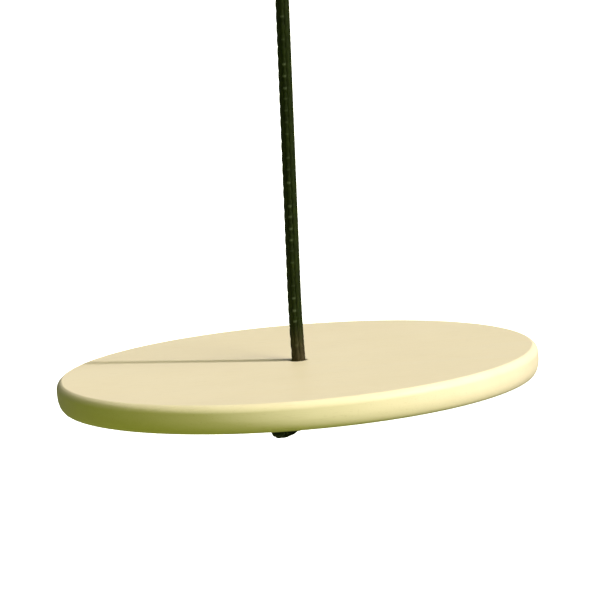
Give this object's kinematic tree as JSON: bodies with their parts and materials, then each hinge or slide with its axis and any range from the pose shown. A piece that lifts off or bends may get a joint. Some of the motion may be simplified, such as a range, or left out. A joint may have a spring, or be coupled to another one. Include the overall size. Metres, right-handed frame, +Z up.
{
  "type": "disc swing",
  "caption": "Round wooden disc seat on a single braided rope, knotted below the seat and hung from a thimble eye and an eye and jaw swivel, so that it swings and spins.",
  "frame": {"origin": "middle of the swivel's hanging hole, from which the whole swing hangs", "axes": "+Z up the plumb line of the taut rope, +Y along the hanging hole's axis, to the back of the swing, +X to the right; the seat's right side is 2.3 degrees high"},
  "size_m": [0.3099, 0.31, 0.4516],
  "materials": {
    "pale_wood": "smooth clear oiled pale hardwood",
    "green_rope": "dark olive green solid braid rope",
    "dark_twine": "tarred whipping twine",
    "galvanised_steel": "hot dip galvanised, slightly spangled",
    "zinc_plated_steel": "bright zinc plate",
    "bronze": "plain bronze thrust washer"
  },
  "bodies": {
    "hanger": {"swivel_eye": "galvanised_steel", "upper_thrust_washer": "bronze", "lower_thrust_washer": "bronze", "lock_nut": "zinc_plated_steel"},
    "jaw": {"swivel_jaw": "galvanised_steel", "clevis_pin": "zinc_plated_steel", "split_pin": "zinc_plated_steel"},
    "rope_head": {"rope_eye": "green_rope", "eye_thimble": "galvanised_steel", "upper_seizing": "dark_twine", "lower_seizing": "dark_twine"},
    "rope_line": {"rope_neck": "green_rope", "rope_fall": "green_rope"},
    "rope_bend": {"rope_flex": "green_rope"},
    "seat": {"seat_disc": "pale_wood", "knot_washer": "zinc_plated_steel", "rope_in_seat": "green_rope", "stopper_knot": "green_rope"}
  },
  "joints": [
    {"name": "spin", "type": "hinge", "parent": "hanger", "child": "jaw", "pos_m": [0, 0, -0.0266], "axis": [0, 0, 1], "continuous": true},
    {"name": "swing_fore_aft", "type": "hinge", "parent": "jaw", "child": "rope_head", "pos_m": [0, 0, -0.0615], "axis": [1, 0, 0], "range_deg": [-60, 60]},
    {"name": "swing_sideways", "type": "hinge", "parent": "rope_head", "child": "rope_line", "pos_m": [0, 0, -0.164], "axis": [0, 1, 0], "range_deg": [-35, 35], "deforming": ["rope_neck"]},
    {"name": "seat_tilt_sideways", "type": "hinge", "parent": "rope_line", "child": "rope_bend", "pos_m": [0, 0, -0.345], "axis": [0, 1, 0], "range_deg": [-20, 20], "deforming": ["rope_flex"]},
    {"name": "seat_tilt_fore_aft", "type": "hinge", "parent": "rope_bend", "child": "seat", "pos_m": [0.00048, 0, -0.369], "axis": [0.9992, 0, 0.0401], "range_deg": [-20, 20], "deforming": ["rope_flex"]}
  ]
}
